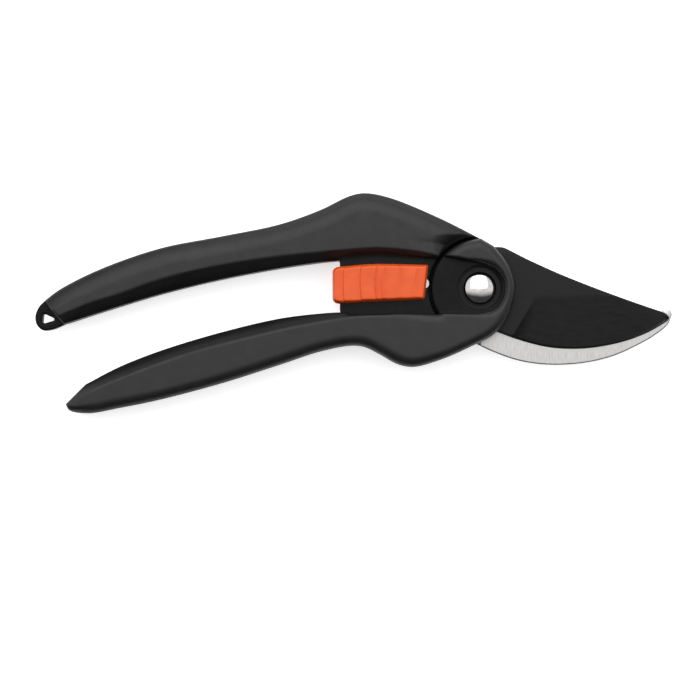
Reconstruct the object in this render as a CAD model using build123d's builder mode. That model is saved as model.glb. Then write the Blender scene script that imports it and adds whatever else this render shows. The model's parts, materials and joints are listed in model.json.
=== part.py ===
"""Bypass pruner: two moulded handles, a coated cutting blade, a bare steel counter blade,
a shoulder bolt that they turn on, a coil spring that opens them and a sliding lock.

Frame: +Z up, out of the front face. The pruner lies on its rear side on Z = 0, +X towards
the blade tips and +Y towards the upper handle. The origin is the middle of its footprint.
Sketches are drawn from the pivot axis, on levels counted from the plane the blades slide on.
"""

from build123d import *
import os
from math import asin, cos, degrees, radians, sin, sqrt

os.makedirs("parts", exist_ok=True)

# ---------------------------------------------------------------- driving sizes, in mm
grip_length = 102.2  # web's rear edge to the hanging loop's end
blade_length = 64.9  # pivot to the counter blade's tip
handle_thickness = 18.0
hump_height = 31.9  # pivot to the top of the upper handle
heel_depth = 41.9  # pivot to the lowest point of the lower handle

head_radius = 16.3  # each handle's head, round the pivot
seam_gap = 1.0  # between a head and the other handle
nose_radius = 11.7  # pivot to the front of each head
layer_gap = 0.1  # between the two heads, and between the two blades
edge_round = 2.0  # edges of both mouldings
corner_round = 1.2  # corners of the lower handle's outline
opening_angle = 28.0  # handles fully open, degrees

cutting_thickness = 3.0
counter_thickness = 3.4

shoulder_diameter = 8.0
shoulder_clearance = 0.05  # running fit of the blades on the shoulder, radial
bolt_head_diameter = 11.0
bolt_rim_height = 1.4
bolt_dome_height = 1.4
thread_diameter = 6.0
thread_clearance = 0.05
thread_showing = 0.7  # bolt's end past the nut
nut_across_flats = 10.0
nut_height = 3.2
washer_thickness = 0.6
washer_diameter = 11.8
split_width = 0.8  # gap in the spring washer
well_diameter = 14.4  # round hole in each head, round the bolt or the nut
recess_radius = 8.6  # shallow recess, round the well and open to the rear
recess_depth = 3.1

web_rear = 46.9  # pivot to the rear edge of the web
web_thickness = 12.0
web_depth = 14.5  # pivot to the lower edge of the web
web_clearance = 0.35  # web in the lower handle's cavity
slot_height = 3.5
slot_middle = 1.8
slot_front = 16.8
slot_end_gap = 0.3  # posts short of the slot's rear end

button_length = 31.4
button_height = 2.3  # above the web
button_lift = 0.2  # button over the web
button_crest = 0.7  # ridges above the button's face
ridge_width = 1.6
socket_depth = 1.2  # posts in the buttons
lock_travel = 5.0
post_diameter = 3.0
post_clearance = 0.05
post_places = (-36.8, -23.5)
plate_thickness = 2.0
plate_clearance = 0.2
plate_height = 4.8
plate_rear = 40.3
plate_front = 21.0
arm_width = 2.3
finger_thickness = 0.9
finger_gap = 0.15
finger_front = 34.9

pin_diameter = 1.6
pin_clearance = 0.35  # pin in the web's notch
pin_x, pin_y = -36.0, -11.8
pin_bite = 1.4  # blind ends of the catch pin in the cavity's walls

spring_diameter = 7.2
wire_diameter = 1.1
spring_coils = 8
spring_clearance = 0.4
spring_length = 20.0  # as squeezed with the handles shut
spring_lean = 295.0  # direction of its axis, degrees from +X
spring_seat_x, spring_seat_y = -30.0, -4.2

leaf_thickness = 0.35
leaf_width = 2.0
leaf_half_span = 4.6
leaf_middle = -31.0
leaf_rise = 1.7
leaf_clearance = 0.1  # leaf in the plate's notch
notch_depth = 0.6

loop_thickness = 7.0

# ---------------------------------------------------------------- derived places
half = handle_thickness / 2
half_web = web_thickness / 2
pivot_x = (web_rear + grip_length - blade_length) / 2
pivot_y = (heel_depth - hump_height) / 2
cutting_low, cutting_high = layer_gap / 2, layer_gap / 2 + cutting_thickness
counter_high, counter_low = -layer_gap / 2, -layer_gap / 2 - counter_thickness
seam_radius = head_radius + seam_gap
slot_rear = -min(post_places) + post_diameter / 2 + lock_travel + slot_end_gap
plate_low = slot_middle - plate_height / 2
plate_high = slot_middle + plate_height / 2
finger_high = pin_y - pin_diameter / 2 - finger_gap
leaf_crest = plate_high - notch_depth + leaf_thickness / 2 + leaf_clearance
leaf_bend = (leaf_half_span**2 + leaf_rise**2) / (2 * leaf_rise)
notch_radius = leaf_bend + leaf_thickness / 2 + leaf_clearance
spring_way = Vector(cos(radians(spring_lean)), sin(radians(spring_lean)))
loop_end = web_rear + grip_length


def level(z):
    """The horizontal plane z above the blades' sliding plane, with its origin on the pivot."""
    return Plane((pivot_x, pivot_y, half + z))


def grip(share, y):
    """A point of a grip's outline, at a share of the way from the web's rear to the loop."""
    return (-(web_rear + share * grip_length), y)


def polar(radius, angle):
    """A point at a radius from the pivot, at an angle in degrees from +X."""
    return (radius * cos(radians(angle)), radius * sin(radians(angle)))


def blade(share, y):
    """A point of a blade's outline, at a share of the way from the pivot to the tip."""
    return (share * blade_length, y)


# ---------------------------------------------------------------- outlines
seam_top_angle, seam_low_angle, head_low_angle = 93.0, 144.5, 211.5
seam_top = polar(seam_radius, seam_top_angle)
seam_low = polar(seam_radius, seam_low_angle)
head_top = (0.1, 16.6)
head_low = polar(head_radius, head_low_angle)
loop_top = grip(0.979, -5.3)
tail_tip = grip(0.896, -38.8)
tail_kink = grip(0.833, -32.2)
nose_top = (4.6, 14.0)
nose_low = (4.2, -15.7)
counter_heel = (-1.5, -18.4)
heel_angle = 265.3  # direction of the counter blade's heel
UPPER_TOP = [
    loop_top, grip(0.92, -0.4), grip(0.79, 6.3), grip(0.59, 13.4), grip(0.39, 17.4),
    grip(0.20, 21.4), grip(0.066, 26.2), (-43.5, 31.0), (-38.4, hump_height), (-30.0, 30.3),
    (-13.2, 23.4), seam_top,
]
UPPER_BOTTOM = [
    seam_low, (-28.0, 11.0), (-41.0, 10.6), grip(0.0, 9.4), grip(0.066, 8.6), grip(0.20, 6.6),
    grip(0.39, 2.9), grip(0.59, -2.1), grip(0.79, -8.3), grip(0.90, -12.0),
]
LOWER_BOTTOM = [
    tail_tip, grip(0.885, -41.0), grip(0.823, -heel_depth), grip(0.724, -40.2),
    grip(0.59, -37.4), grip(0.39, -32.0), grip(0.20, -25.8), grip(0.066, -21.3),
    (-43.0, -19.3), (-38.5, -19.8), (-33.0, -22.5), (-27.5, -25.5), (-22.3, -26.4),
    (-13.2, -24.0), (-3.1, -19.6), nose_low,
]
NOSE = [nose_low, (8.7, -10.6), (nose_radius, -0.5), (10.7, 5.0), (8.0, 9.9), nose_top]
LOWER_TOP = [
    head_low, (-30.0, -8.0), (-44.0, -8.0), grip(0.066, -8.5), grip(0.20, -10.2),
    grip(0.39, -14.8), grip(0.59, -21.0), grip(0.724, -26.4), tail_kink,
]

# ---------------------------------------------------------------- blades
with BuildPart() as cutting_blade:
    with BuildSketch(level(cutting_low)):
        with BuildLine():
            spine_start = Line((5.0, 13.7), (7.4, 13.7))
            spine = Spline(spine_start @ 1, (11.0, 12.1), blade(0.233, 10.2), blade(0.33, 7.1),
                           blade(0.605, -0.1), blade(0.79, -4.5), blade(0.948, -8.0))
            tip = Spline(spine @ 1, blade(0.984, -9.4), blade(0.979, -10.4),
                         tangents=[spine % 1, Vector(-0.8, -0.6)])
            edge = Spline(tip @ 1, blade(0.886, -14.4), blade(0.76, -17.6), blade(0.6, -19.7),
                          blade(0.48, -20.3), blade(0.35, -19.7), blade(0.2, -17.2), (5.4, -14.4))
            Polyline(edge @ 1, (-3.0, -16.8), (-11.5, -20.5), (-15.0, -18.4), (-11.0, -11.0))
            Spline((-11.0, -11.0), (-12.0, 0.0), (-6.5, 9.8), (5.0, 13.7))
        make_face()
    extrude(amount=cutting_thickness)
    with Locations(level(cutting_high).location):
        Hole(shoulder_diameter / 2 + shoulder_clearance, depth=cutting_thickness)
cutting_blade.part.label = "cutting_blade"

with BuildPart() as counter_blade:
    with BuildSketch(level(counter_low)):
        with BuildLine():
            heel = Spline(counter_heel, (9.0, -22.9), blade(0.32, -25.5), blade(0.51, -25.2),
                          blade(0.7, -22.6), blade(0.886, -16.7), blade(0.978, -12.1),
                          blade(1.0, -8.8))
            point = Spline(heel @ 1, blade(0.985, -7.3), blade(0.958, -7.4),
                           tangents=[heel % 1, Vector(-1.0, -0.4)])
            Spline(point @ 1, blade(0.847, -11.5), blade(0.678, -16.2), blade(0.49, -17.4),
                   blade(0.31, -14.5), (10.4, -7.0))
            ThreePointArc((10.4, -7.0), (10.8, 3.0), (0.0, 12.0))
            Polyline((0.0, 12.0), (-19.0, 19.0), (-36.0, 25.0), (-42.0, 24.0), (-43.5, 19.0),
                     (-40.0, 15.5), (-20.0, 9.5), (-11.5, 3.0), (-11.5, -4.5), (-7.5, -9.2),
                     polar(12.0, heel_angle), counter_heel)
        make_face()
        with Locations((-28.0, 17.2), (-38.0, 20.2)):
            Circle(2.0, mode=Mode.SUBTRACT)
    extrude(amount=counter_thickness)
    with Locations(level(counter_high).location):
        Hole(shoulder_diameter / 2 + shoulder_clearance, depth=counter_thickness)
counter_blade.part.label = "counter_blade"

# ---------------------------------------------------------------- what the handles make room for
def head_outline():
    """The outline of a head: the circle that the seam follows, cut off by the nose."""
    with BuildLine() as line:
        Spline(*NOSE)
        Line(nose_top, head_top)
        ThreePointArc(head_top, polar(head_radius, 190.0), polar(head_radius, 280.0))
        Line(polar(head_radius, 280.0), nose_low)
    return line.line


with BuildSketch() as recess_outline:
    Circle(recess_radius)
    with Locations((-recess_radius * 1.25, 0.0)):
        Rectangle(recess_radius * 2.5, 2 * recess_radius)

with BuildSketch() as web_outline:
    with BuildLine():
        Polyline((-web_rear, 12.6), (-web_rear, -7.5), (-web_rear + 1.7, -web_depth),
                 (-20.5, -web_depth),
                 polar(seam_radius, 212.5), (0.0, 0.0), polar(seam_radius, 98.0), (-13.2, 20.0),
                 (-30.0, 20.0), close=True)
    make_face()

with BuildSketch() as cavity_outline:
    with BuildLine():
        low_side = -web_depth - web_clearance
        Polyline((-web_rear - web_clearance, 0.0), (-web_rear - web_clearance, low_side),
                 (-20.5 + web_clearance, low_side), polar(head_radius, 216.0), (-10.0, 0.0),
                 close=True)
    make_face()
    Circle(head_radius, mode=Mode.SUBTRACT)

spring_start = level(0).from_local_coords(Vector(spring_seat_x, spring_seat_y, 0))
spring_seat = Plane(spring_start, x_dir=(0, 0, 1), z_dir=spring_way)

# ---------------------------------------------------------------- upper handle
with BuildPart() as upper_handle:
    with BuildSketch(level(-half)):
        with BuildLine():
            back = Spline(*UPPER_TOP)
            ThreePointArc(seam_top, polar(seam_radius, 121.0), seam_low)
            inside = Spline(*UPPER_BOTTOM)
            Spline(inside @ 1, grip(0.962, -14.2), grip(0.99, -13.4), grip(1.0, -10.6), loop_top,
                   tangents=[inside % 1, back % 0])
        make_face()
    extrude(amount=handle_thickness)
    fillet(upper_handle.faces().filter_by(Axis.Z).edges(), edge_round)
    with BuildSketch(level(-half_web)):
        add(web_outline.sketch)
    extrude(amount=web_thickness)
    with BuildSketch(level(-layer_gap / 2)):
        Circle(seam_radius)
    extrude(amount=half, mode=Mode.SUBTRACT)
    with BuildSketch(level(-half)):
        with BuildLine():
            add(head_outline())
        make_face()
    extrude(amount=half - layer_gap / 2)
    with BuildSketch(level(-half)):
        Polygon((0.0, 0.0), head_top, seam_top, polar(seam_radius + 1.0, seam_top_angle + 8.0),
                polar(seam_radius + 1.6, 121.0), seam_low, align=None)
    extrude(amount=half - layer_gap / 2)
    with BuildSketch(level(-half)):
        add(recess_outline.sketch)
    extrude(amount=recess_depth, mode=Mode.SUBTRACT)
    with BuildSketch(level(-half)):
        Circle(well_diameter / 2)
    extrude(amount=half, mode=Mode.SUBTRACT)
    # The slot for the lock's posts, right through the web.
    with BuildSketch(level(-half)):
        with Locations((-(slot_rear + slot_front) / 2, slot_middle)):
            SlotOverall(slot_rear - slot_front, slot_height)
    extrude(amount=handle_thickness, mode=Mode.SUBTRACT)
    # The slit for the lock's plate, its arm and its finger.
    slit = plate_thickness / 2 + plate_clearance
    with BuildSketch(level(-slit)):
        slit_rear = -plate_rear - lock_travel - plate_clearance
        with BuildLine():
            Polyline(
                (slit_rear, plate_high + plate_clearance),
                (-plate_front + plate_clearance, plate_high + plate_clearance),
                (-plate_front + plate_clearance, plate_low - plate_clearance),
                (-plate_rear + arm_width + plate_clearance, plate_low - plate_clearance),
                (-plate_rear + arm_width + plate_clearance, finger_high + plate_clearance),
                (-finger_front + plate_clearance, finger_high + plate_clearance),
                (-finger_front + plate_clearance, -web_depth - 1.0),
                (slit_rear, -web_depth - 1.0),
                close=True,
            )
        make_face()
        with Locations((leaf_middle, plate_high + plate_clearance + leaf_rise / 2)):
            Rectangle(2 * leaf_half_span + 1.0, leaf_rise + 2 * plate_clearance)
    extrude(amount=2 * slit, mode=Mode.SUBTRACT)
    # The notch that the catch pin leaves by as the handles open.
    notch_wide = pin_diameter / 2 + pin_clearance
    with BuildSketch(level(-half_web)):
        with Locations((pin_x, pin_y)):
            Circle(notch_wide)
        Polygon((pin_x - notch_wide, pin_y), (pin_x + notch_wide, pin_y),
                (pin_x + notch_wide + 1.4, -web_depth - 1.0),
                (pin_x - notch_wide, -web_depth - 1.0), align=None)
    extrude(amount=web_thickness, mode=Mode.SUBTRACT)
    # The spring's pocket, open to the web's lower edge.
    with BuildSketch(spring_seat):
        Circle(spring_diameter / 2 + spring_clearance)
    extrude(amount=spring_length, mode=Mode.SUBTRACT)
    # The hanging hole, through an end that is thinner than the grip.
    with BuildSketch(Plane.XZ.offset(-pivot_y - 10.0)):
        for side in (1, -1):
            with BuildLine():
                Polyline(
                    (pivot_x - loop_end + 8.0, half + side * loop_thickness / 2),
                    (pivot_x - loop_end + 16.0, half + side * (half + 1.0)),
                    (pivot_x - loop_end - 1.0, half + side * (half + 1.0)),
                    (pivot_x - loop_end - 1.0, half + side * loop_thickness / 2),
                    close=True,
                )
            make_face()
    extrude(amount=40.0, mode=Mode.SUBTRACT)
    with BuildSketch(level(-half)):
        hole_corners = [grip(0.978, -11.2), grip(0.965, -8.3), grip(0.937, -10.6)]
        with BuildLine():
            Polyline(*hole_corners, close=True)
        make_face()
        offset(amount=0.5)
    extrude(amount=handle_thickness, mode=Mode.SUBTRACT)
    add(counter_blade.part, mode=Mode.SUBTRACT)
upper_handle.part.label = "upper_handle"

# ---------------------------------------------------------------- lower handle
with BuildPart() as lower_handle:
    with BuildSketch(level(-half)) as lower_outline:
        with BuildLine():
            Spline(*LOWER_BOTTOM, *NOSE[1:])
            Line(nose_top, head_top)
            ThreePointArc(head_top, polar(head_radius, 155.0), head_low)
            Spline(*LOWER_TOP)
            Line(tail_kink, tail_tip)
        make_face()
        fillet(lower_outline.vertices(), corner_round)
    extrude(amount=handle_thickness)
    fillet(lower_handle.faces().filter_by(Axis.Z).edges(), edge_round)
    # Behind the blades: room for the other head, and for the counter blade as the handles open.
    with BuildSketch(level(-half)):
        Circle(seam_radius)
        sweep_angle = heel_angle - opening_angle - 2.0
        Polygon((0.0, 0.0), polar(60.0, sweep_angle), polar(80.0, sweep_angle + 40.0),
                polar(60.0, 0.0), (0.0, 30.0), align=None)
    extrude(amount=half + layer_gap / 2, mode=Mode.SUBTRACT)
    with BuildSketch(level(half - recess_depth)):
        add(recess_outline.sketch)
    extrude(amount=recess_depth, mode=Mode.SUBTRACT)
    with BuildSketch(level(0)):
        Circle(well_diameter / 2)
    extrude(amount=half, mode=Mode.SUBTRACT)
    with BuildSketch(level(-half_web - web_clearance)):
        add(cavity_outline.sketch)
    extrude(amount=web_thickness + 2 * web_clearance, mode=Mode.SUBTRACT)
    with BuildSketch(spring_seat):
        Circle(spring_diameter / 2 + spring_clearance)
    extrude(amount=spring_length, mode=Mode.SUBTRACT)
    pin_length = web_thickness + 2 * web_clearance + 2 * pin_bite
    with BuildSketch(level(-pin_length / 2)):
        with Locations((pin_x, pin_y)):
            Circle(pin_diameter / 2)
    extrude(amount=pin_length, mode=Mode.SUBTRACT)
    add(cutting_blade.part, mode=Mode.SUBTRACT)
lower_handle.part.label = "lower_handle"

# ---------------------------------------------------------------- pivot hardware
washer_low = cutting_high + shoulder_clearance
head_low_side = washer_low + washer_thickness
with BuildPart() as bolt_washer:
    with BuildSketch(level(washer_low)):
        Circle(washer_diameter / 2)
        Circle(shoulder_diameter / 2 + shoulder_clearance, mode=Mode.SUBTRACT)
    extrude(amount=washer_thickness)
bolt_washer.part.label = "bolt_washer"

split_low = counter_low - washer_thickness
nut_low = split_low - nut_height
bolt_low = nut_low - thread_showing
head_r = bolt_head_diameter / 2
rim_top = head_low_side + bolt_rim_height
with BuildPart() as pivot_bolt:
    with BuildSketch(Plane(level(0).origin, x_dir=(1, 0, 0), z_dir=(0, -1, 0))):
        with BuildLine():
            Polyline(
                (0.0, bolt_low), (thread_diameter / 2 - 0.5, bolt_low),
                (thread_diameter / 2, bolt_low + 0.5), (thread_diameter / 2, counter_low),
                (shoulder_diameter / 2, counter_low), (shoulder_diameter / 2, head_low_side),
                (head_r, head_low_side), (head_r, rim_top),
            )
            dome_top = rim_top + bolt_dome_height
            dome_radius = (head_r**2 + bolt_dome_height**2) / (2 * bolt_dome_height)
            CenterArc((0.0, dome_top - dome_radius), dome_radius, 90.0,
                      -degrees(asin(head_r / dome_radius)))
            Line((0.0, dome_top), (0.0, bolt_low))
        make_face()
    revolve(axis=Axis(level(0).origin, (0, 0, 1)))
pivot_bolt.part.label = "pivot_bolt"

with BuildPart() as spring_washer:
    with BuildSketch(level(split_low)):
        Circle(nut_across_flats / 2)
        Circle(thread_diameter / 2 + thread_clearance, mode=Mode.SUBTRACT)
        with Locations((0.0, nut_across_flats / 2)):
            Rectangle(split_width, nut_across_flats, mode=Mode.SUBTRACT)
    extrude(amount=washer_thickness)
spring_washer.part.label = "spring_washer"

with BuildPart() as pivot_nut:
    with BuildSketch(level(nut_low)):
        RegularPolygon(nut_across_flats / 2, 6, major_radius=False)
        Circle(thread_diameter / 2 + thread_clearance, mode=Mode.SUBTRACT)
    extrude(amount=nut_height)
    chamfer(pivot_nut.faces().sort_by(Axis.Z)[0].outer_wire().edges(), 0.4)
pivot_nut.part.label = "pivot_nut"

# ---------------------------------------------------------------- lock
with BuildPart() as lock_plate:
    with BuildSketch(level(-plate_thickness / 2)):
        with BuildLine():
            finger_low = finger_high - finger_thickness
            Polyline(
                (-plate_rear, plate_high), (-plate_front, plate_high), (-plate_front, plate_low),
                (-plate_rear + arm_width, plate_low), (-plate_rear + arm_width, finger_high),
                (-finger_front, finger_high), (-finger_front, finger_low),
                (-plate_rear, finger_low), close=True,
            )
        make_face()
        with Locations((leaf_middle, plate_high + notch_radius - notch_depth),
                       (leaf_middle + lock_travel, plate_high + notch_radius - notch_depth)):
            Circle(notch_radius, mode=Mode.SUBTRACT)
        with Locations(*[(x, slot_middle) for x in post_places]):
            Circle(post_diameter / 2 + post_clearance, mode=Mode.SUBTRACT)
    extrude(amount=plate_thickness)
lock_plate.part.label = "lock_plate"

button_low = half_web + button_lift
post_half = button_low + socket_depth
with BuildPart() as lock_posts:
    with BuildSketch(level(-post_half)):
        with Locations(*[(x, slot_middle) for x in post_places]):
            Circle(post_diameter / 2)
    extrude(amount=2 * post_half)
lock_posts.part.label = "lock_posts"

button_front = 18.3  # pivot to the button's front, which is round the pivot
button_top, button_base = 8.0, -4.3
with BuildPart() as lock_button:
    with BuildSketch(level(button_low)):
        with BuildLine():
            front_top = (-sqrt(button_front**2 - button_top**2), button_top)
            front_base = (-sqrt(button_front**2 - button_base**2), button_base)
            rear = -button_front + 0.7 - button_length
            ThreePointArc(front_top, polar(button_front, 170.0), front_base)
            Polyline(front_base, (rear, button_base), (rear, button_top - 1.2), (-35.0, button_top),
                     front_top)
        make_face()
    extrude(amount=button_height)
    with BuildSketch(level(button_low + button_height)):
        for radius in (43.4, 38.2, 33.0, 27.6, 22.0):
            Circle(radius + ridge_width / 2)
            Circle(radius - ridge_width / 2, mode=Mode.SUBTRACT)
        with Locations((rear + button_length / 2, (button_top + button_base) / 2 - 0.3)):
            Rectangle(button_length, button_top - button_base - 2.0, mode=Mode.INTERSECT)
    extrude(amount=button_crest)
    with BuildSketch(level(button_low)):
        with Locations(*[(x, slot_middle) for x in post_places]):
            Circle(post_diameter / 2)
    extrude(amount=socket_depth, mode=Mode.SUBTRACT)
lock_button.part.label = "lock_button"

with BuildPart() as lock_back:
    add(mirror(lock_button.part, about=level(0)))
lock_back.part.label = "lock_back"

with BuildPart() as catch_pin:
    with BuildSketch(level(-pin_length / 2)):
        with Locations((pin_x, pin_y)):
            Circle(pin_diameter / 2)
    extrude(amount=pin_length)
catch_pin.part.label = "catch_pin"

with BuildPart() as detent_leaf:
    with BuildSketch(level(-leaf_width / 2)):
        with Locations((leaf_middle, leaf_crest + leaf_bend)):
            Circle(leaf_bend + leaf_thickness / 2)
            Circle(leaf_bend - leaf_thickness / 2, mode=Mode.SUBTRACT)
        with Locations((leaf_middle, leaf_crest + leaf_rise / 2)):
            Rectangle(2 * leaf_half_span, leaf_rise + leaf_thickness, mode=Mode.INTERSECT)
    extrude(amount=leaf_width)
detent_leaf.part.label = "detent_leaf"

# ---------------------------------------------------------------- return spring
coil_radius = (spring_diameter - wire_diameter) / 2
coil_rise = (spring_length - wire_diameter) / spring_coils
with BuildPart() as upright_spring:
    with BuildLine() as coil:
        Helix(pitch=coil_rise, height=coil_rise * spring_coils, radius=coil_radius)
    with BuildSketch(Plane(coil.line @ 0, z_dir=coil.line % 0)):
        Circle(wire_diameter / 2)
    sweep(path=coil.line, is_frenet=True)
spring_base = Plane(spring_start + spring_way * (wire_diameter / 2), x_dir=(0, 0, 1),
                    z_dir=spring_way)
with BuildPart() as return_spring:
    add(upright_spring.part.moved(spring_base.location))
return_spring.part.label = "return_spring"

# ---------------------------------------------------------------- files
for piece in (upper_handle, lower_handle, cutting_blade, counter_blade, bolt_washer, pivot_bolt,
              spring_washer, pivot_nut, lock_plate, lock_posts, lock_button, lock_back, catch_pin,
              detent_leaf, return_spring):
    export_step(piece.part, f"parts/{piece.part.label}.step")
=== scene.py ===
"""Looks of the bypass pruner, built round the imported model.

Lengths are in metres in the row frame: +Z out of the front face, +X towards the blade tips,
+Y towards the upper handle. Shapes are drawn in millimetres from the pivot axis, on the plane
that the blades slide on, and are moved into the frame when their meshes are made.
"""

import json
from math import cos, radians, sin

import bpy
import bmesh
import numpy as np
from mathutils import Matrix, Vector
from mathutils.geometry import delaunay_2d_cdt


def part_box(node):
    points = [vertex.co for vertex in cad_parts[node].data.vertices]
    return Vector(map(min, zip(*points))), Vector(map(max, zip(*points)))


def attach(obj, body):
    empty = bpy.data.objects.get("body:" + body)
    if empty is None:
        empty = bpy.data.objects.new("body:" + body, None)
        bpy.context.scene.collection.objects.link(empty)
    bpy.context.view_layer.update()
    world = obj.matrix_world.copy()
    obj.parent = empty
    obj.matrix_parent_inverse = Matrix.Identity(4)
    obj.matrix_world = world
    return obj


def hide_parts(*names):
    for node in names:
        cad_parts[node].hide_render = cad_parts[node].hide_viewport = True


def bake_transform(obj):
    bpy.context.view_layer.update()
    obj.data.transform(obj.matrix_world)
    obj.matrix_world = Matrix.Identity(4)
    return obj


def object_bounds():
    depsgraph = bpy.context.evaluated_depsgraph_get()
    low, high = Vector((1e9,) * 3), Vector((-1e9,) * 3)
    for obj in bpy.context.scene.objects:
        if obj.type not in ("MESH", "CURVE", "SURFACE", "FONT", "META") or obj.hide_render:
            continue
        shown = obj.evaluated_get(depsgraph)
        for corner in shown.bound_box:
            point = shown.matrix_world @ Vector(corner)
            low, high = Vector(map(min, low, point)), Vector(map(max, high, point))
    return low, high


MM = 0.001

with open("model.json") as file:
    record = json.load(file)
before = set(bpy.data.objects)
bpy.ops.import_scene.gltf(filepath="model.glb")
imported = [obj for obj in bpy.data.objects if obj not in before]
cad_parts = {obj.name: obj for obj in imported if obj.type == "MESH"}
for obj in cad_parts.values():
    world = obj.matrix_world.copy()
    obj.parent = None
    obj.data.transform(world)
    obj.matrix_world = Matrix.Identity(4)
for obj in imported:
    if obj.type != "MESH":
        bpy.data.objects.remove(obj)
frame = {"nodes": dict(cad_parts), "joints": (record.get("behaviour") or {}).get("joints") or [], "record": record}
cad_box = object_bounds()
pivot = Vector([j for j in frame["joints"] if j["name"] == "handle_pivot"][0]["pos_m"])


def place(x, y, z):
    """A point given in millimetres from the pivot, in the row frame."""
    return pivot + Vector((x, y, z)) * MM


# ---------------------------------------------------------------- materials
def new_material(name, colour, roughness, metallic=0.0, specular=0.5):
    """A Principled material with its even values on the shader's own sockets."""
    material = bpy.data.materials.new(name)
    material.use_nodes = True
    shader = material.node_tree.nodes["Principled BSDF"]
    shader.inputs["Base Color"].default_value = (*colour, 1.0)
    shader.inputs["Roughness"].default_value = roughness
    shader.inputs["Metallic"].default_value = metallic
    shader.inputs["Specular IOR Level"].default_value = specular
    return material, material.node_tree, shader


def noise(tree, scale, detail=4.0, roughness=0.55, stretch=None):
    """Noise over the object's own coordinates, stretched along an axis if asked."""
    coords = tree.nodes.new("ShaderNodeTexCoord")
    texture = tree.nodes.new("ShaderNodeTexNoise")
    texture.inputs["Scale"].default_value = scale
    texture.inputs["Detail"].default_value = detail
    texture.inputs["Roughness"].default_value = roughness
    source = coords.outputs["Object"]
    if stretch:
        mapping = tree.nodes.new("ShaderNodeMapping")
        mapping.inputs["Scale"].default_value = stretch
        tree.links.new(source, mapping.inputs["Vector"])
        source = mapping.outputs["Vector"]
    tree.links.new(source, texture.inputs["Vector"])
    return texture.outputs["Fac"]


def spread(tree, value, low, high):
    """A 0 to 1 value, spread over low to high."""
    mapped = tree.nodes.new("ShaderNodeMapRange")
    mapped.inputs["From Min"].default_value = 0.3
    mapped.inputs["From Max"].default_value = 0.7
    mapped.inputs["To Min"].default_value = low
    mapped.inputs["To Max"].default_value = high
    tree.links.new(value, mapped.inputs["Value"])
    return mapped.outputs["Result"]


def tint(tree, value, dark, light):
    """A colour between dark and light, by a 0 to 1 value."""
    ramp = tree.nodes.new("ShaderNodeValToRGB")
    ramp.color_ramp.elements[0].position = 0.35
    ramp.color_ramp.elements[1].position = 0.65
    ramp.color_ramp.elements[0].color = (*dark, 1.0)
    ramp.color_ramp.elements[1].color = (*light, 1.0)
    tree.links.new(value, ramp.inputs["Fac"])
    return ramp.outputs["Color"]


def bump(tree, shader, value, strength, distance):
    """Relief on the shader from a 0 to 1 value."""
    node = tree.nodes.new("ShaderNodeBump")
    node.inputs["Strength"].default_value = strength
    node.inputs["Distance"].default_value = distance
    tree.links.new(value, node.inputs["Height"])
    tree.links.new(node.outputs["Normal"], shader.inputs["Normal"])


def from_middle(tree, near, far, low, high):
    """A value that runs from low to high as the height off the pruner's mid plane grows."""
    coords = tree.nodes.new("ShaderNodeTexCoord")
    axes = tree.nodes.new("ShaderNodeSeparateXYZ")
    offset = tree.nodes.new("ShaderNodeMath")
    offset.operation = "SUBTRACT"
    offset.inputs[1].default_value = pivot.z
    size = tree.nodes.new("ShaderNodeMath")
    size.operation = "ABSOLUTE"
    mapped = tree.nodes.new("ShaderNodeMapRange")
    mapped.inputs["From Min"].default_value = near * MM
    mapped.inputs["From Max"].default_value = far * MM
    mapped.inputs["To Min"].default_value = low
    mapped.inputs["To Max"].default_value = high
    tree.links.new(coords.outputs["Object"], axes.inputs["Vector"])
    tree.links.new(axes.outputs["Z"], offset.inputs[0])
    tree.links.new(offset.outputs["Value"], size.inputs[0])
    tree.links.new(size.outputs["Value"], mapped.inputs["Value"])
    return mapped.outputs["Result"]


def moulded_plastic(name, dark, light, roughness, grain, recess_shade_specular=None):
    """Moulded plastic: a faint mottle, a fine sparked grain, an uneven sheen and, if asked, painted shade on the
    sunk floors.
    """
    material, tree, shader = new_material(name, dark, roughness[0], specular=0.34)
    colour = tint(tree, noise(tree, 180.0), dark, light)
    tree.links.new(colour, shader.inputs["Base Color"])
    sheen = spread(tree, noise(tree, 420.0), roughness[0], roughness[1])
    tree.links.new(sheen, shader.inputs["Roughness"])
    if recess_shade_specular is not None:
        # Painted shade: the sunk floors near the mid plane get a weaker specular reflection than the outer faces,
        # so they read darker.
        recess_shade = from_middle(tree, 6.1, 7.4, recess_shade_specular, 0.36)
        tree.links.new(recess_shade, shader.inputs["Specular IOR Level"])
    bump(tree, shader, noise(tree, 3600.0, detail=2.0), grain, 0.00008)
    return material


def coated_steel(name):
    """Black low-friction coating, with a faint drag along the blade."""
    material, tree, shader = new_material(name, (0.008, 0.008, 0.008), 0.36, specular=0.16)
    drag = noise(tree, 900.0, stretch=(0.25, 1.0, 1.0))
    tree.links.new(tint(tree, drag, (0.0060, 0.0058, 0.0057), (0.0095, 0.0092, 0.0090)),
                   shader.inputs["Base Color"])
    tree.links.new(spread(tree, drag, 0.30, 0.42), shader.inputs["Roughness"])
    bump(tree, shader, noise(tree, 2600.0), 0.12, 0.00004)
    return material


def steel(name, dark, light, roughness, stretch, scale=1600.0, relief=0.25):
    """Bare steel with the marks of its finishing along one direction."""
    material, tree, shader = new_material(name, light, roughness[0], metallic=1.0)
    marks = noise(tree, scale, detail=3.0, stretch=stretch)
    tree.links.new(tint(tree, marks, dark, light), shader.inputs["Base Color"])
    tree.links.new(spread(tree, marks, roughness[0], roughness[1]), shader.inputs["Roughness"])
    bump(tree, shader, marks, relief, 0.00003)
    return material


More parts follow.
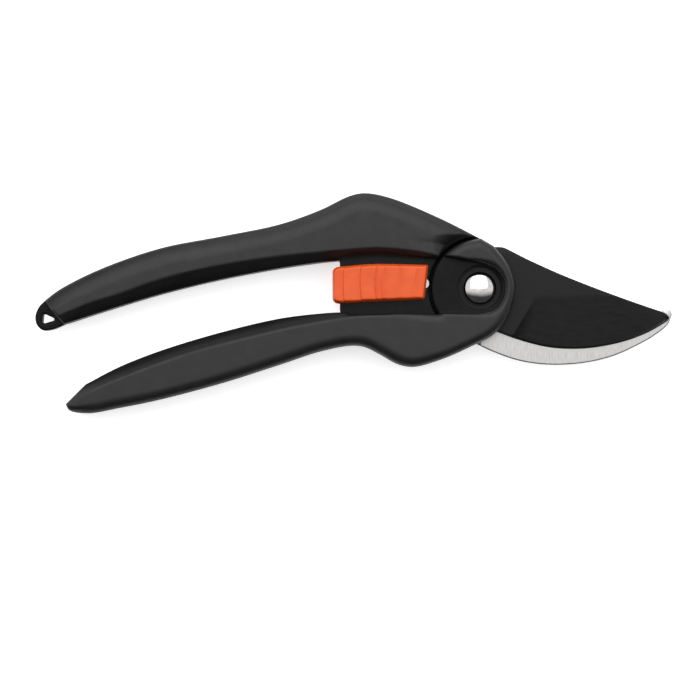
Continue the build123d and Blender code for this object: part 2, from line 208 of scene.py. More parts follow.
MATERIALS = {
    # grip_plastic: 0.07 is the weaker specular level that paints shade on the sunk floors.
    "grip_plastic": moulded_plastic("grip_plastic", (0.0075, 0.0075, 0.0078),
                                    (0.0100, 0.0100, 0.0103), (0.36, 0.46), 0.22, 0.07),
    "lock_plastic": moulded_plastic("lock_plastic", (0.73, 0.087, 0.012), (0.79, 0.104, 0.015),
                                    (0.34, 0.42), 0.08),
    "blade_coating": coated_steel("blade_coating"),
    "ground_steel": steel("ground_steel", (0.36, 0.355, 0.35), (0.50, 0.495, 0.49), (0.28, 0.42),
                          (6.0, 0.35, 1.0), 900.0),
    "bolt_chrome": steel("bolt_chrome", (0.58, 0.57, 0.56), (0.74, 0.73, 0.72), (0.10, 0.18),
                         (1.0, 1.0, 1.0), 500.0, 0.05),
    "black_washer": coated_steel("black_washer"),
    "zinc_steel": steel("zinc_steel", (0.50, 0.50, 0.50), (0.66, 0.66, 0.65), (0.25, 0.40),
                        (1.0, 1.0, 1.0), 700.0),
    "spring_steel": steel("spring_steel", (0.32, 0.32, 0.33), (0.46, 0.46, 0.47), (0.25, 0.38),
                          (1.0, 1.0, 0.2), 900.0),
}
for entry in frame["record"]["subparts"]:
    mesh = frame["nodes"][entry["node"]].data
    mesh.materials.clear()
    mesh.materials.append(MATERIALS[entry["material_slot"]])


# ---------------------------------------------------------------- sizes, in mm
HALF = 9.0  # half of the grips' thickness
WEB = 6.0  # half of the web's thickness
HEAD_RADIUS, SEAM_RADIUS, WELL_RADIUS = 16.3, 17.3, 7.2
LAYER = 0.05  # half of the gap between the blades
CUTTING_TOP, COUNTER_LOW = 3.05, -3.45
BLADE_HOLE = 4.05  # radius round the bolt's shoulder
HEEL_ANGLE = 265.3  # direction of the hook's heel
OPENING = 28.0  # how far the handles open, in degrees
WEB_REAR, WEB_DEPTH = 46.9, 14.5
WEB_GAP = 0.35  # room round the web inside the lower handle
CROWN_FADE = 4.0  # width beside the crease over which the crown flattens
SLOT_REAR, SLOT_FRONT, SLOT_MIDDLE, SLOT_HALF = -41.9, -18.5, 1.8, 1.75
SPRING_SEAT = (-30.0, -4.2)
SPRING_ANGLE, SPRING_LENGTH, SPRING_POCKET = 295.0, 20.0, 4.0
VOXEL, FINE_VOXEL = 0.4, 0.2
SOFT = 0.5  # how far moulded corners are rounded


# ---------------------------------------------------------------- curves
def curve(points, step=0.5):
    """A smooth line through points, sampled about every step."""
    points = np.array(points, float)
    padded = np.vstack([2 * points[0] - points[1], points, 2 * points[-1] - points[-2]])
    line = [points[0]]
    for p0, p1, p2, p3 in zip(padded, padded[1:], padded[2:], padded[3:]):
        knots = np.cumsum([0.0] + [max(np.linalg.norm(b - a), 1e-6) ** 0.5
                                   for a, b in ((p0, p1), (p1, p2), (p2, p3))])
        count = max(2, int(np.linalg.norm(p2 - p1) / step))
        for t in np.linspace(knots[1], knots[2], count + 1)[1:]:
            a1, a2, a3 = (((knots[i + 1] - t) * a + (t - knots[i]) * b) / (knots[i + 1] - knots[i])
                          for i, (a, b) in enumerate(((p0, p1), (p1, p2), (p2, p3))))
            b1 = ((knots[2] - t) * a1 + (t - knots[0]) * a2) / (knots[2] - knots[0])
            b2 = ((knots[3] - t) * a2 + (t - knots[1]) * a3) / (knots[3] - knots[1])
            line.append(((knots[2] - t) * b1 + (t - knots[1]) * b2) / (knots[2] - knots[1]))
    return np.array(line)


def arc(radius, start, stop, count=40):
    """Points of an arc round the pivot, between two angles in degrees."""
    angles = np.radians(np.linspace(start, stop, count))
    return np.column_stack([radius * np.cos(angles), radius * np.sin(angles)])


def polar(radius, angle):
    """A point at an angle in degrees round the pivot."""
    return (radius * cos(radians(angle)), radius * sin(radians(angle)))


def distance_to(line, x, y):
    """Distance from each point x, y to an open line."""
    best = np.full(np.shape(x), 1e9)
    for (ax, ay), (bx, by) in zip(line, line[1:]):
        dx, dy = bx - ax, by - ay
        t = np.clip(((x - ax) * dx + (y - ay) * dy) / max(dx * dx + dy * dy, 1e-12), 0, 1)
        best = np.minimum(best, (x - ax - t * dx) ** 2 + (y - ay - t * dy) ** 2)
    return np.sqrt(best)


def signed_distance(outline, x, y):
    """Distance from each point x, y to a closed outline, negative inside."""
    loop = np.vstack([outline, outline[:1]])
    inside = np.zeros(np.shape(x), bool)
    for (ax, ay), (bx, by) in zip(loop, loop[1:]):
        if ay != by:
            crosses = (ay > y) != (by > y)
            inside ^= crosses & (x < ax + (y - ay) * (bx - ax) / (by - ay))
    return np.where(inside, -1.0, 1.0) * distance_to(loop, x, y)


# ---------------------------------------------------------------- fields: negative inside a solid
def join(a, b, soft=SOFT):
    """Both solids together, with a rounded inner corner."""
    h = np.clip(0.5 + 0.5 * (b - a) / soft, 0, 1)
    return b * (1 - h) + a * h - soft * h * (1 - h)


def common(a, b, soft=SOFT):
    """What two solids share, with a rounded edge."""
    return -join(-a, -b, soft)


def cut(a, b, soft=SOFT):
    """The first solid without the second."""
    return common(a, -b, soft)


def pillow(outline, height, top, side_round, top_round):
    """A slab between -top and top whose edges are rounded, more along the side or the top."""
    across = np.maximum(1 + outline / side_round, 0)
    up = np.maximum((np.abs(height) - (top - top_round)) / top_round, 0)
    return (np.hypot(across, up) - 1) * np.minimum(side_round, top_round)


def slab(outline, height, low, high, soft=SOFT):
    """A plain slab between two levels."""
    return common(outline, np.maximum(low - height, height - high), soft)


class Grid:
    """A box of sample points, with the plane coordinates x, y and the height z."""

    def __init__(self, low, high, step):
        self.low, self.step = np.array(low, float), step
        axes = [np.arange(a, b + step, step) for a, b in zip(low, high)]
        self.x, self.y = (v[:, :, None] for v in np.meshgrid(axes[0], axes[1], indexing="ij"))
        self.z = axes[2][None, None, :]

    def signed(self, outline):
        """The signed distance to an outline, the same at every height."""
        return signed_distance(outline, self.x[:, :, 0], self.y[:, :, 0])[:, :, None]


def sample(field, where):
    """The field and its slope at points given in grid steps, between the grid's samples."""
    base = np.clip(np.floor(where).astype(int), 0, np.array(field.shape) - 2)
    t = where - base
    corners = [[[field[base[:, 0] + i, base[:, 1] + j, base[:, 2] + k] for k in (0, 1)]
                for j in (0, 1)] for i in (0, 1)]
    c = np.array(corners)
    tx, ty, tz = t.T
    along_x = c[0] * (1 - tx) + c[1] * tx
    along_y = along_x[0] * (1 - ty) + along_x[1] * ty
    value = along_y[0] * (1 - tz) + along_y[1] * tz
    slope_x = c[1] - c[0]
    slope_x = slope_x[0] * (1 - ty) + slope_x[1] * ty
    slope_x = slope_x[0] * (1 - tz) + slope_x[1] * tz
    slope_y = along_x[1] - along_x[0]
    slope_y = slope_y[0] * (1 - tz) + slope_y[1] * tz
    slope_z = along_y[1] - along_y[0]
    return value, np.column_stack([slope_x, slope_y, slope_z])


def surface(name, grid, field, slot):
    """A mesh of the field's zero surface: one point in each cell that it crosses."""
    field = field.astype(np.float32)
    inside = field < 0
    shape = np.array(field.shape) - 1
    total = np.zeros((*shape, 3), np.float32)
    count = np.zeros(shape, np.int16)
    crossings = []
    for axis in range(3):
        low = [slice(None)] * 3
        high = [slice(None)] * 3
        low[axis], high[axis] = slice(0, -1), slice(1, None)
        low, high = tuple(low), tuple(high)
        index = np.argwhere(inside[low] != inside[high])
        step = np.eye(3, dtype=int)[axis]
        start = field[tuple(index.T)]
        end = field[tuple((index + step).T)]
        point = index + step * (start / (start - end))[:, None]
        others = [a for a in range(3) if a != axis]
        cells = []
        for i, j in ((0, 0), (1, 0), (1, 1), (0, 1)):
            cell = index.copy()
            cell[:, others[0]] -= 1 - i
            cell[:, others[1]] -= 1 - j
            cells.append(cell)
            kept = np.all((cell >= 0) & (cell < shape), axis=1)
            np.add.at(total, tuple(cell[kept].T), point[kept])
            np.add.at(count, tuple(cell[kept].T), 1)
        flip = (start < 0) != (axis == 1)
        crossings.append((cells, flip))
    number = np.full(shape, -1)
    used = count > 0
    number[used] = np.arange(used.sum())
    points = total[used] / count[used][:, None]
    faces = []
    for cells, flip in crossings:
        ids = np.column_stack([number[tuple(np.clip(c, 0, shape - 1).T)] for c in cells])
        kept = np.all([np.all((c >= 0) & (c < shape), axis=1) for c in cells], axis=0)
        ids, flip = ids[kept], flip[kept]
        ids[~flip] = ids[~flip][:, ::-1]
        faces.append(ids)
    for _ in range(4):
        value, slope = sample(field, points)
        step = -value[:, None] * slope / np.maximum((slope ** 2).sum(1), 1e-8)[:, None]
        points = points + np.clip(step, -0.4, 0.4)
    return make_mesh(name, grid.low + points * grid.step, np.vstack(faces), slot)


def make_mesh(name, points, faces, slot, sharp=None):
    """An object from points in millimetres round the pivot."""
    mesh = bpy.data.meshes.new(name)
    placed = np.array(points, float) * MM + np.array(pivot)
    mesh.from_pydata([tuple(p) for p in placed], [], [tuple(int(i) for i in f) for f in faces])
    mesh.validate()
    mesh.shade_smooth()
    if sharp:
        mesh.set_sharp_from_angle(angle=radians(sharp))
    mesh.materials.append(MATERIALS[slot])
    obj = bpy.data.objects.new(name, mesh)
    bpy.context.scene.collection.objects.link(obj)
    return obj


# ---------------------------------------------------------------- outlines of the handles
SEAM_TOP, SEAM_LOW, HEAD_LOW = 93.0, 144.5, 211.5
HEAD_CORNER = (0.0, 16.7)  # where the lower handle's head meets the seam
UPPER_TOP = [
    (-146.0, -4.2), (-140.9, -0.4), (-127.6, 6.3), (-107.2, 13.4), (-86.8, 17.4), (-67.3, 21.4),
    (-53.6, 26.2), (-43.5, 31.0), (-38.4, 31.9), (-30.0, 30.3), (-13.2, 23.4),
    polar(SEAM_RADIUS, SEAM_TOP),
]
UPPER_BOTTOM = [
    polar(SEAM_RADIUS, SEAM_LOW), (-28.0, 10.6), (-41.0, 10.2), (-46.9, 9.3), (-53.6, 8.6),
    (-67.3, 6.6), (-86.8, 2.9), (-107.2, -2.1), (-127.6, -8.3), (-138.9, -12.0),
]
UPPER_END = [
    (-138.9, -12.0), (-143.5, -13.9), (-146.6, -14.1), (-148.7, -12.1), (-149.1, -9.2),
    (-147.9, -6.2), (-146.0, -4.2),
]
UPPER_CREASE = [
    (-146.0, -11.8), (-137.3, -7.9), (-130.5, -5.1), (-120.2, -1.9), (-110.0, 1.8), (-96.2, 5.6),
    (-82.5, 8.3), (-68.7, 10.3), (-55.0, 11.7), (-43.5, 12.7), (-34.0, 13.2), (-24.0, 12.4),
    (-15.0, 10.9), (-8.0, 9.5),
]
LOWER_BOTTOM = [
    (-138.5, -38.8), (-137.3, -40.9), (-131.0, -41.9), (-120.9, -40.2), (-107.2, -37.4),
    (-86.8, -32.0), (-67.3, -25.8), (-53.6, -21.3), (-43.0, -19.3), (-38.5, -19.8),
    (-33.0, -22.5), (-27.5, -25.5), (-22.3, -26.4), (-13.2, -24.0), (-3.1, -19.6), (4.2, -15.7),
]
NOSE = [(4.2, -15.7), (8.7, -10.6), (11.7, -0.5), (10.7, 5.0), (8.0, 9.9), (4.6, 14.0)]
LOWER_TOP = [
    polar(HEAD_RADIUS, HEAD_LOW), (-30.0, -8.0), (-44.0, -8.0), (-53.6, -8.5), (-67.3, -10.2),
    (-86.8, -14.8), (-107.2, -21.0), (-120.9, -26.4), (-132.0, -32.2),
]
LOWER_CREASE = [
    (-141.0, -42.5), (-137.4, -39.1), (-130.6, -34.6), (-110.0, -26.2), (-96.0, -21.4),
    (-82.5, -17.8), (-62.0, -13.0), (-48.2, -10.5), (-40.8, -9.4), (-26.7, -8.8), (-12.5, -8.7),
    (4.0, -8.7), (14.0, -8.7),
]
RECESS = [
    (-44.0, -8.9), (-26.7, -8.6), (-12.5, -8.5), (0.0, -8.5), (5.0, -6.9), (7.9, -2.6),
    (8.0, 2.4), (5.2, 6.4), (0.2, 8.6), (-5.5, 9.6), (-10.6, 10.6), (-16.0, 11.0), (-44.0, 11.0),
]


def head_outline():
    """The circle that the seam follows, cut off by the nose."""
    return np.vstack([curve(NOSE), [HEAD_CORNER], arc(HEAD_RADIUS, SEAM_TOP, 280.0, 90)])


def web_outline():
    """The flat web under the lock, with its rear lower corner cut back."""
    return np.array([(-WEB_REAR, 12.6), (-WEB_REAR, -7.5), (-45.2, -WEB_DEPTH),
                     (-20.5, -WEB_DEPTH),
                     polar(SEAM_RADIUS, 212.5), (0.0, 0.0), polar(SEAM_RADIUS, 98.0),
                     (-13.2, 20.0), (-30.0, 20.0)])


def inner_side(crease, far):
    """The closed region from a crease to a far line on the grip's inner side."""
    line = curve(crease)
    return np.vstack([line, [(line[-1][0], far), (line[0][0], far)]])


def spring_pocket(grid):
    """The field of the round pocket that holds the return spring."""
    way = polar(1.0, SPRING_ANGLE)
    off_x, off_y = grid.x - SPRING_SEAT[0], grid.y - SPRING_SEAT[1]
    along = off_x * way[0] + off_y * way[1]
    aside = off_x * -way[1] + off_y * way[0]
    return np.maximum(np.hypot(aside, grid.z) - SPRING_POCKET,
                      np.maximum(-along, along - SPRING_LENGTH))


def upper_handle():
    """The moulding with the hump, the web under the lock, the rear head and the hanging loop."""
    grid = Grid((-151.0, -17.0, -9.8), (13.5, 33.6, 9.8), VOXEL)
    x, y, z = grid.x, grid.y, grid.z
    radius = np.hypot(x, y)
    outline = grid.signed(np.vstack([
        curve(UPPER_TOP)[:-1], arc(SEAM_RADIUS, SEAM_TOP, SEAM_LOW, 40)[:-1],
        curve(UPPER_BOTTOM)[:-1], curve(UPPER_END)[:-1]]))
    inner = -grid.signed(inner_side(UPPER_CREASE, -60.0))
    # The grips taper a little to the rear, and the front runs down to the seam.
    taper = np.clip((-60.0 - x) / 90.0, 0, 1)
    front_fall = np.clip((x + 22.0) / 22.0, 0, 1) ** 2
    top = HALF - 0.9 * taper - 0.9 * front_fall
    # Crowned towards the back of the hand, but full up to the crease on the inner side.
    inward = np.clip(1 + inner / CROWN_FADE, 0, 1)
    body = pillow(outline, z, top, 6.5 - 5.0 * inward, 5.2 - 3.9 * inward)
    steep = np.clip((x + 56.0) / 14.0, 0, 1)
    fall = 0.75 + 0.75 * steep
    facet = (np.abs(z) - top + fall * np.maximum(inner, -1.0)) / np.hypot(1.0, fall)
    body = common(body, facet, 0.3)
    seam_wall = SEAM_RADIUS - radius
    body = common(body, np.minimum(seam_wall, z + LAYER), 0.3)
    web = slab(grid.signed(web_outline()), z, -WEB, WEB)
    web = common(web, np.minimum(seam_wall, z + LAYER), 0.3)
    solid = join(body, web, 0.7)
    head_edge = grid.signed(head_outline())
    head = common(pillow(head_edge, z, HALF, 2.4, 1.8), z + LAYER, 0.2)
    neck_edge = grid.signed(np.array([(0.0, 0.0), (4.6, 14.1), polar(SEAM_RADIUS, SEAM_TOP),
                                      polar(SEAM_RADIUS + 1.6, 121.0),
                                      polar(SEAM_RADIUS, SEAM_LOW)]))
    neck = slab(neck_edge, z, -HALF + 0.9, -LAYER, 0.2)
    solid = join(solid, join(head, neck, 0.8), 0.8)
    # The rear recess, the nut's well, the lock's slot and slit, the spring's pocket.
    recess = slab(grid.signed(curve(RECESS)), z, -20.0, -WEB, 0.8)
    solid = cut(solid, recess, 0.8)
    solid = cut(solid, np.maximum(radius - WELL_RADIUS, z + LAYER), 0.5)
    slot_x = np.clip(x, SLOT_REAR, SLOT_FRONT)
    solid = cut(solid, np.hypot(x - slot_x, y - SLOT_MIDDLE) - SLOT_HALF, 0.4)
    slit_x, slit_y, slit_half = -41.6, -7.0, (3.9, 9.0, 1.2)
    slit = np.maximum(np.abs(x - slit_x) - slit_half[0], np.abs(y - slit_y) - slit_half[1])
    slit = np.maximum(np.abs(z) - slit_half[2], slit)
    solid = cut(solid, slit, 0.2)
    notch_lean = 0.25 * np.clip(-11.8 - y, 0, 4.0)
    notch = np.hypot(x + 36.0 - notch_lean, np.maximum(y + 11.8, 0)) - 1.2
    solid = cut(solid, notch, 0.3)
    solid = cut(solid, spring_pocket(grid), 0.4)
    # The hanging loop is a thin tab beyond a slanting step.
    beyond = -((x + 142.3) * 0.77 + (y + 8.4) * 0.64)
    step = common(-beyond, 3.0 - np.abs(z), 0.5)
    solid = cut(solid, step, 0.5)
    hole = grid.signed(np.array([(-146.3, -11.3), (-146.1, -9.1), (-143.2, -10.4)])) - 0.5
    solid = cut(solid, hole, 0.5)
    piece = surface("upper_grip", grid, solid, "grip_plastic")
    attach(piece, "upper")
    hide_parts("upper_handle")


def lower_handle():
    """The moulding with the round head and its C-shaped rim, and the belly over the spring."""
    grid = Grid((-140.5, -44.0, -9.8), (13.5, 18.5, 9.8), VOXEL)
    x, y, z = grid.x, grid.y, grid.z
    radius = np.hypot(x, y)
    outline = grid.signed(np.vstack([
        curve(LOWER_BOTTOM + NOSE[1:]), [HEAD_CORNER],
        arc(HEAD_RADIUS, SEAM_TOP, HEAD_LOW, 90)[:-1],
        curve(LOWER_TOP)]))
    inner = -grid.signed(inner_side(LOWER_CREASE, 80.0))
    taper = np.clip((-60.0 - x) / 80.0, 0, 1)
    top = HALF - 0.8 * taper
    near_head = np.clip((x + 26.0) / 16.0, 0, 1)
    inward = np.clip(1 + inner / CROWN_FADE, 0, 1) * (1 - near_head)
    side_round = 3.8 - 0.8 * near_head - 2.3 * inward
    top_round = 2.9 - 0.3 * near_head - 1.6 * inward
    body = pillow(outline, z, top, side_round, top_round)
    steep = np.clip((x + 46.0) / 10.0, 0, 1)
    fall = 0.95 + 1.2 * steep
    facet = (np.abs(z) - top + fall * np.maximum(inner, -1.0)) / np.hypot(1.0, fall)
    facet = np.where(x > -30.0, np.minimum(facet, -np.minimum(30.0 + x, 2.0)), facet)
    body = common(body, facet, 0.25)
    # Behind the blades: room for the other head and for the counter blade's swing.
    start = HEEL_ANGLE - OPENING - 2.0
    sweep = np.array([(0.0, 0.0), polar(60.0, start), polar(80.0, start + 40.0),
                      polar(60.0, 0.0), (0.0, 30.0)])
    behind = np.minimum(radius - SEAM_RADIUS, grid.signed(sweep))
    solid = cut(body, np.maximum(behind, z - LAYER), 0.3)
    recess = slab(grid.signed(curve(RECESS)), z, WEB, 20.0, 0.6)
    rim_soft = 0.7 + 1.5 * np.clip((x + 4.0) / 8.0, 0, 1)
    solid = cut(solid, recess, rim_soft)
    solid = cut(solid, np.maximum(radius - WELL_RADIUS, -z), 0.6)
    cavity = grid.signed(np.array([(-47.0, 0.0), (-47.0, -WEB_DEPTH - WEB_GAP),
                                   (-20.2, -WEB_DEPTH - WEB_GAP),
                                   polar(HEAD_RADIUS, 216.0), (-10.0, 0.0)]))
    cavity = np.maximum(cavity, HEAD_RADIUS - radius)
    solid = cut(solid, np.maximum(cavity, np.abs(z) - WEB - WEB_GAP), 0.3)
    solid = cut(solid, spring_pocket(grid), 0.3)
    piece = surface("lower_grip", grid, solid, "grip_plastic")
    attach(piece, "lower")
    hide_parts("lower_handle")


# ---------------------------------------------------------------- lock buttons
BUTTON_TOP_EDGE = [(-18.1, 7.0), (-34.7, 7.3), (-43.5, 6.7), (-48.0, 6.1), (-48.6, 5.4)]
BUTTON_LOW_EDGE = [(-48.6, -3.5), (-48.0, -4.1), (-34.7, -3.7), (-19.3, -3.1)]
RIDGES = [18.0, 22.0, 27.5, 32.7, 35.1]  # radii of the light ridges in front of the crest
GROOVES = [35.1, 40.1, 45.8, 50.6]  # radii of the dark grooves behind it


def scallops(radius, marks, out):
    """A run of hollows with cusps at the marks if out, or of ramps that drop at each mark."""
    height = np.zeros(np.shape(radius))
    for near, far in zip(marks, marks[1:]):
        across = np.clip((radius - near) / (far - near), 0, 1)
        inside = (radius >= near) & (radius < far)
        arch = (2 * across - 1) ** 2 if out else across ** 1.4
        height = np.where(inside, arch, height)
    return height


def lock_slider(name, side, node):
    """A thumb slider with scalloped steps, on the front when side is 1 and on the rear at -1."""
    low, high = (5.9, 9.5) if side > 0 else (-9.5, -5.9)
    grid = Grid((-50.6, -6.2, low), (-16.2, 9.6, high), FINE_VOXEL)
    x, y, z = grid.x, grid.y, side * grid.z
    middle, crest, crest_height, roof_fall = 1.9, -34.7, 8.72, 0.018
    draft, underside, head_clear = 0.34, 6.2, 16.95
    radius = np.hypot(x, y - middle)
    end = [(-18.1 - 1.2 * t, 7.0 - 10.1 * t) for t in np.linspace(0, 1, 8)]
    edge = grid.signed(np.vstack([curve(BUTTON_TOP_EDGE), curve(BUTTON_LOW_EDGE), end[::-1]]))
    roof = crest_height - roof_fall * np.abs(x - crest)
    front = scallops(radius, RIDGES, True) * 0.4
    rear = scallops(radius, GROOVES, False) * 0.62
    top = roof + np.where(radius < GROOVES[0], front, rear - 0.2)
    side_wall = (edge - draft * np.maximum(8.7 - z, 0)) / 1.06
    solid = common(common(side_wall, z - top, 0.4), underside - z, 0.2)
    solid = common(solid, head_clear - np.hypot(x, y), 0.2)
    piece = surface(name, grid, solid, "lock_plastic")
    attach(piece, "lock")
    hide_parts(node)


# ---------------------------------------------------------------- blades
def beside(line, offset):
    """The line moved to the right of its run, or to the left if offset is negative."""
    tangent = np.gradient(line, axis=0)
    tangent /= np.linalg.norm(tangent, axis=1)[:, None]
    return line + np.column_stack([tangent[:, 1], -tangent[:, 0]]) * offset


def plate(name, outline, lines, top, bottom, slot, spacing=1.1, sharp=14.0):
    """A flat piece with the bolt's hole, whose two faces follow the heights top and bottom."""
    ring = arc(BLADE_HOLE, 0.0, 360.0, 65)[:-1]
    points, edges = [], []
    for loop, closed in [(outline, True), (ring, True)] + [(line, False) for line in lines]:
        first = len(points)
        points += [tuple(p) for p in loop]
        edges += [(first + i, first + i + 1) for i in range(len(loop) - 1)]
        if closed:
            edges.append((first + len(loop) - 1, first))
    low, high = outline.min(0), outline.max(0)
    gx, gy = np.meshgrid(np.arange(low[0], high[0], spacing), np.arange(low[1], high[1], spacing))
    gap = signed_distance(outline, gx, gy)
    near = np.minimum.reduce([distance_to(np.array(line), gx, gy) for line in lines] + [-gap])
    keep = (gap < -0.5 * spacing) & (near > 0.4 * spacing) & (np.hypot(gx, gy) > BLADE_HOLE + 0.5)
    points += list(zip(gx[keep], gy[keep]))
    verts, _, faces, _, _, _ = delaunay_2d_cdt([Vector(p) for p in points], edges, [], 1, 1e-5)
    flat = np.array([tuple(v) for v in verts])
    faces = np.array([f for f in faces if len(f) == 3])
    middle = flat[faces].mean(1)
    inside = signed_distance(outline, middle[:, 0], middle[:, 1]) < 0
    faces = faces[inside & (np.hypot(middle[:, 0], middle[:, 1]) > BLADE_HOLE * 0.999)]
    seen = dict.fromkeys((a, b) for face in faces for a, b in zip(face, np.roll(face, -1)))
    rim = [(a, b) for a, b in seen if (b, a) not in seen]
    count = len(flat)
    x, y = flat.T
    both = np.vstack([np.column_stack([x, y, top(x, y)]), np.column_stack([x, y, bottom(x, y)])])
    quads = [(a, a + count, b + count, b) for a, b in rim]
    solid = [tuple(f) for f in faces] + [tuple(f[::-1] + count) for f in faces] + quads
    return make_mesh(name, both, solid, slot, sharp)


CUTTING_SPINE = [(5.0, 13.85), (7.6, 13.8), (9.4, 13.1), (15.1, 10.2), (21.1, 7.4), (27.2, 4.7),
                 (39.3, -0.1), (51.4, -4.5), (61.5, -7.9)]
CUTTING_TIP = [(61.5, -7.9), (63.0, -8.8), (63.75, -10.0), (63.3, -11.0)]
CUTTING_EDGE = [(63.3, -11.0), (57.5, -14.4), (49.4, -17.6), (39.0, -19.8), (31.2, -20.3),
                (23.0, -19.7), (13.1, -17.2), (5.4, -14.4)]
CUTTING_TANG = [(5.4, -14.4), (-3.0, -16.8), (-11.5, -20.5), (-15.0, -18.4), (-11.0, -11.0),
                (-12.0, 0.0), (-6.5, 9.8), (5.0, 13.85)]
GRIND_LINE = [(11.0, -16.0), (11.4, -15.3), (18.8, -2.9), (46.5, -2.9)]


def cutting_blade():
    """The coated blade: flat spine, one long grind below a slanting plunge, a thin bevel."""
    spine, edge = curve(CUTTING_SPINE, 0.7), curve(CUTTING_EDGE, 0.7)
    outline = np.vstack([spine[:-1], curve(CUTTING_TIP, 0.4)[:-1], edge[:-1],
                         np.array(CUTTING_TANG)[:-1]])
    bevel_width, spine_width = 0.75, 0.35
    # Both lines stop short of the outline's corners.
    bevel_line = beside(edge, bevel_width)[2:-3]
    spine_line = beside(spine, spine_width)[14:-2]
    plunge = np.array([GRIND_LINE[1], GRIND_LINE[2]])
    shoulder = np.array([GRIND_LINE[2], GRIND_LINE[3]])
    ground = np.vstack([GRIND_LINE, [(70.0, -2.9), (70.0, -30.0), (11.0, -30.0)]])

    def top(x, y):
        to_edge = distance_to(edge, x, y)
        to_spine = distance_to(spine, x, y)
        down = np.minimum(4.0 * distance_to(plunge, x, y), distance_to(shoulder, x, y))
        share = np.where(signed_distance(ground, x, y) < 0, down / (down + to_edge + 1e-6), 0.0)
        height = CUTTING_TOP - 1.45 * share
        bevel = np.clip(to_edge / bevel_width, 0, 1)
        height = np.where(x > 6.0, LAYER + 0.25 + (height - LAYER - 0.25) * bevel, height)
        return height - 0.3 * np.clip(1 - to_spine / spine_width, 0, 1)

    piece = plate("coated_blade", outline, [bevel_line, spine_line, GRIND_LINE[1:]], top,
                  lambda x, y: np.full(x.shape, LAYER), "blade_coating")
    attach(piece, "lower")
    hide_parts("cutting_blade")


HOOK_HEEL = [(-1.5, -18.4), (5.0, -21.4), (13.1, -24.2), (21.1, -25.5), (29.2, -25.6),
             (37.3, -24.7), (45.4, -22.6), (53.4, -19.0), (59.0, -15.8), (63.5, -12.1),
             (64.9, -9.0)]
HOOK_POINT = [(64.9, -9.0), (64.6, -7.7), (63.6, -7.05), (62.0, -7.4)]
HOOK_EDGE = [(62.0, -7.4), (55.0, -11.5), (44.0, -16.2), (31.8, -17.4), (20.1, -14.5),
             (10.4, -7.0)]


def counter_blade():
    """The bare hook behind, ground across, with eased outer corners."""
    heel = curve(HOOK_HEEL, 0.7)
    point = curve(HOOK_POINT, 0.3)
    tang = np.array([(-7.0, 15.0), (-9.5, 9.0), (-11.5, 3.0), (-11.5, -4.5), (-7.5, -9.2),
                     polar(12.0, HEEL_ANGLE)])
    outline = np.vstack([heel[:-1], point[:-1], curve(HOOK_EDGE, 0.7)[:-1],
                         arc(12.5, 326.0, 360.0, 12)[:-1] * (0.87, 0.87),
                         arc(10.9, 0.0, 80.0, 16), tang])
    rim = np.vstack([heel, point])
    ease = 0.4
    eased_line = beside(heel, -ease)[3:-3]

    def eased(x, y):
        return 0.3 * np.clip(1 - distance_to(rim, x, y) / ease, 0, 1)

    piece = plate("hook_blade", outline, [eased_line], lambda x, y: -LAYER - eased(x, y),
                  lambda x, y: COUNTER_LOW + eased(x, y), "ground_steel")
    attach(piece, "upper")
    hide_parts("counter_blade")


# ---------------------------------------------------------------- bolt and spring
def tube_faces(rows, sides):
    """The quads between rows that follow each other, each a ring of points."""
    return [(i * sides + k, i * sides + (k + 1) % sides, (i + 1) * sides + (k + 1) % sides,
             (i + 1) * sides + k) for i in range(rows - 1) for k in range(sides)]


def pivot_bolt():
    """The domed shoulder bolt, turned: end, thread core, shoulder, head and dome."""
    low, high = ((corner[2] - pivot.z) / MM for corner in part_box("pivot_bolt"))
    head, rim, rise = 5.5, high - 2.8, 2.0
    dome = [(0.97 * head * cos(radians(a)), high - rise + rise * sin(radians(a)))
            for a in range(5, 91, 5)]
    profile = [(0.0, low), (2.5, low), (3.0, low + 0.5), (3.0, COUNTER_LOW), (4.0, COUNTER_LOW),
               (4.0, rim), (head - 0.25, rim), (head, rim + 0.25), (head, high - rise - 0.1),
               *dome]
    turns = 96
    points = [(r * cos(2 * np.pi * k / turns), r * sin(2 * np.pi * k / turns), z)
              for r, z in profile for k in range(turns)]
    faces = tube_faces(len(profile), turns)
    piece = make_mesh("domed_bolt", points, faces, "bolt_chrome", 40.0)
    mesh = bmesh.new()
    mesh.from_mesh(piece.data)
    bmesh.ops.remove_doubles(mesh, verts=mesh.verts, dist=1e-7)
    mesh.to_mesh(piece.data)
    mesh.free()
    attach(piece, "upper")
    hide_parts("pivot_bolt")


def return_spring():
    """The coil spring between the handles, made at its rest length."""
    coil, wire, coils = 3.05, 0.55, 8.0
    way = np.array([*polar(1.0, SPRING_ANGLE), 0.0])
    seat = np.array([*SPRING_SEAT, 0.0]) + way * wire
    aside = np.array([-way[1], way[0], 0.0])
    up = np.array([0.0, 0.0, 1.0])
    steps, sides = 420, 12
    points = []
    for i in range(steps + 1):
        turn = 2 * np.pi * coils * i / steps
        along = (SPRING_LENGTH - 2 * wire) * i / steps
        out = aside * np.cos(turn) + up * np.sin(turn)
        centre = seat + way * along + out * coil
        for k in range(sides):
            angle = 2 * np.pi * k / sides
            points.append(centre + wire * (out * np.cos(angle) + way * np.sin(angle)))
    faces = tube_faces(steps + 1, sides)
    faces += [tuple(range(sides - 1, -1, -1)), tuple(steps * sides + k for k in range(sides))]
    piece = make_mesh("coil_spring", points, faces, "spring_steel", 50.0)
    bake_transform(piece)
    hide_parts("return_spring")


upper_handle()
lower_handle()
lock_slider("front_slider", 1, "lock_button")
lock_slider("rear_slider", -1, "lock_back")
cutting_blade()
counter_blade()
pivot_bolt()
return_spring()


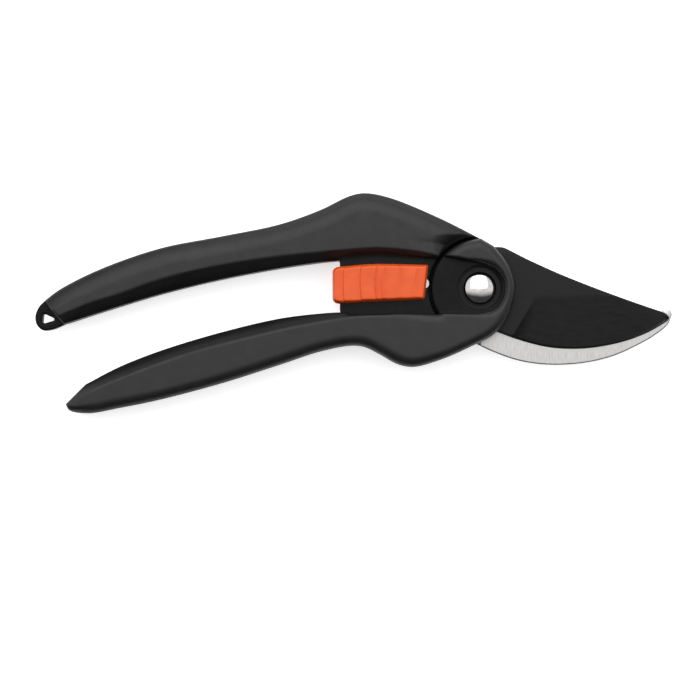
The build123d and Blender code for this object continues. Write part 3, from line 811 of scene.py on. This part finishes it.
# ---------------------------------------------------------------- stage, lights and camera
def make_stage():
    """The pale floor that the pruner lies on."""
    bpy.ops.mesh.primitive_plane_add(size=8.0, location=(0.0, 0.0, cad_box[0][2]))
    floor = bpy.context.object
    floor.name = "floor"
    material, tree, shader = new_material("floor", (0.92, 0.92, 0.92), 0.9, specular=0.1)
    colour = tint(tree, noise(tree, 3.0), (0.91, 0.91, 0.91), (0.93, 0.93, 0.93))
    tree.links.new(colour, shader.inputs["Base Color"])
    shader.inputs["Emission Color"].default_value = (1.0, 1.0, 1.0, 1.0)
    shader.inputs["Emission Strength"].default_value = 0.62
    floor.data.materials.append(material)


def area_light(name, centre, size, power, spot):
    """A soft square light at centre that faces spot."""
    data = bpy.data.lights.new(name, "AREA")
    data.shape = "SQUARE"
    data.size = size
    data.energy = power
    light = bpy.data.objects.new(name, data)
    light.location = centre
    light.rotation_euler = (Vector(spot) - Vector(centre)).to_track_quat("-Z", "Y").to_euler()
    bpy.context.scene.collection.objects.link(light)


def make_lights():
    """A room that is dark only on the lower handle's side, and one wide soft light above."""
    world = bpy.data.worlds.new("studio")
    bpy.context.scene.world = world
    world.use_nodes = True
    tree = world.node_tree
    background = tree.nodes["Background"]
    background.inputs["Strength"].default_value = 1.0
    coords = tree.nodes.new("ShaderNodeTexCoord")
    axes = tree.nodes.new("ShaderNodeSeparateXYZ")
    ramp = tree.nodes.new("ShaderNodeValToRGB")
    ramp.color_ramp.elements[0].position = 0.28
    ramp.color_ramp.elements[0].color = (0.05, 0.05, 0.05, 1.0)
    ramp.color_ramp.elements[1].position = 0.44
    ramp.color_ramp.elements[1].color = (1.0, 1.0, 1.0, 1.0)
    shift = tree.nodes.new("ShaderNodeMapRange")
    shift.inputs["From Min"].default_value = -1.0
    shift.inputs["From Max"].default_value = 1.0
    tree.links.new(coords.outputs["Generated"], axes.inputs["Vector"])
    tree.links.new(axes.outputs["Y"], shift.inputs["Value"])
    tree.links.new(shift.outputs["Result"], ramp.inputs["Fac"])
    tree.links.new(ramp.outputs["Color"], background.inputs["Color"])
    area_light("overhead", (-0.05, 0.66, 1.15), 1.5, 10.5, (-0.04, 0.0, 0.0))


def make_camera():
    """Straight above the front face, with a long lens."""
    lens, sensor = 135.0, 36.0
    width = 235.6 * MM
    centre = place(-43.5, -20.7, 0.0)
    data = bpy.data.cameras.new("camera")
    data.lens = lens
    data.sensor_width = sensor
    camera = bpy.data.objects.new("camera", data)
    camera.location = centre + Vector((0.0, 0.0, width * lens / sensor))
    bpy.context.scene.collection.objects.link(camera)
    bpy.context.scene.camera = camera


make_stage()
make_lights()
make_camera()
bpy.context.scene.view_settings.view_transform = "Standard"

for obj in frame["nodes"].values():
    obj.data.shade_smooth()
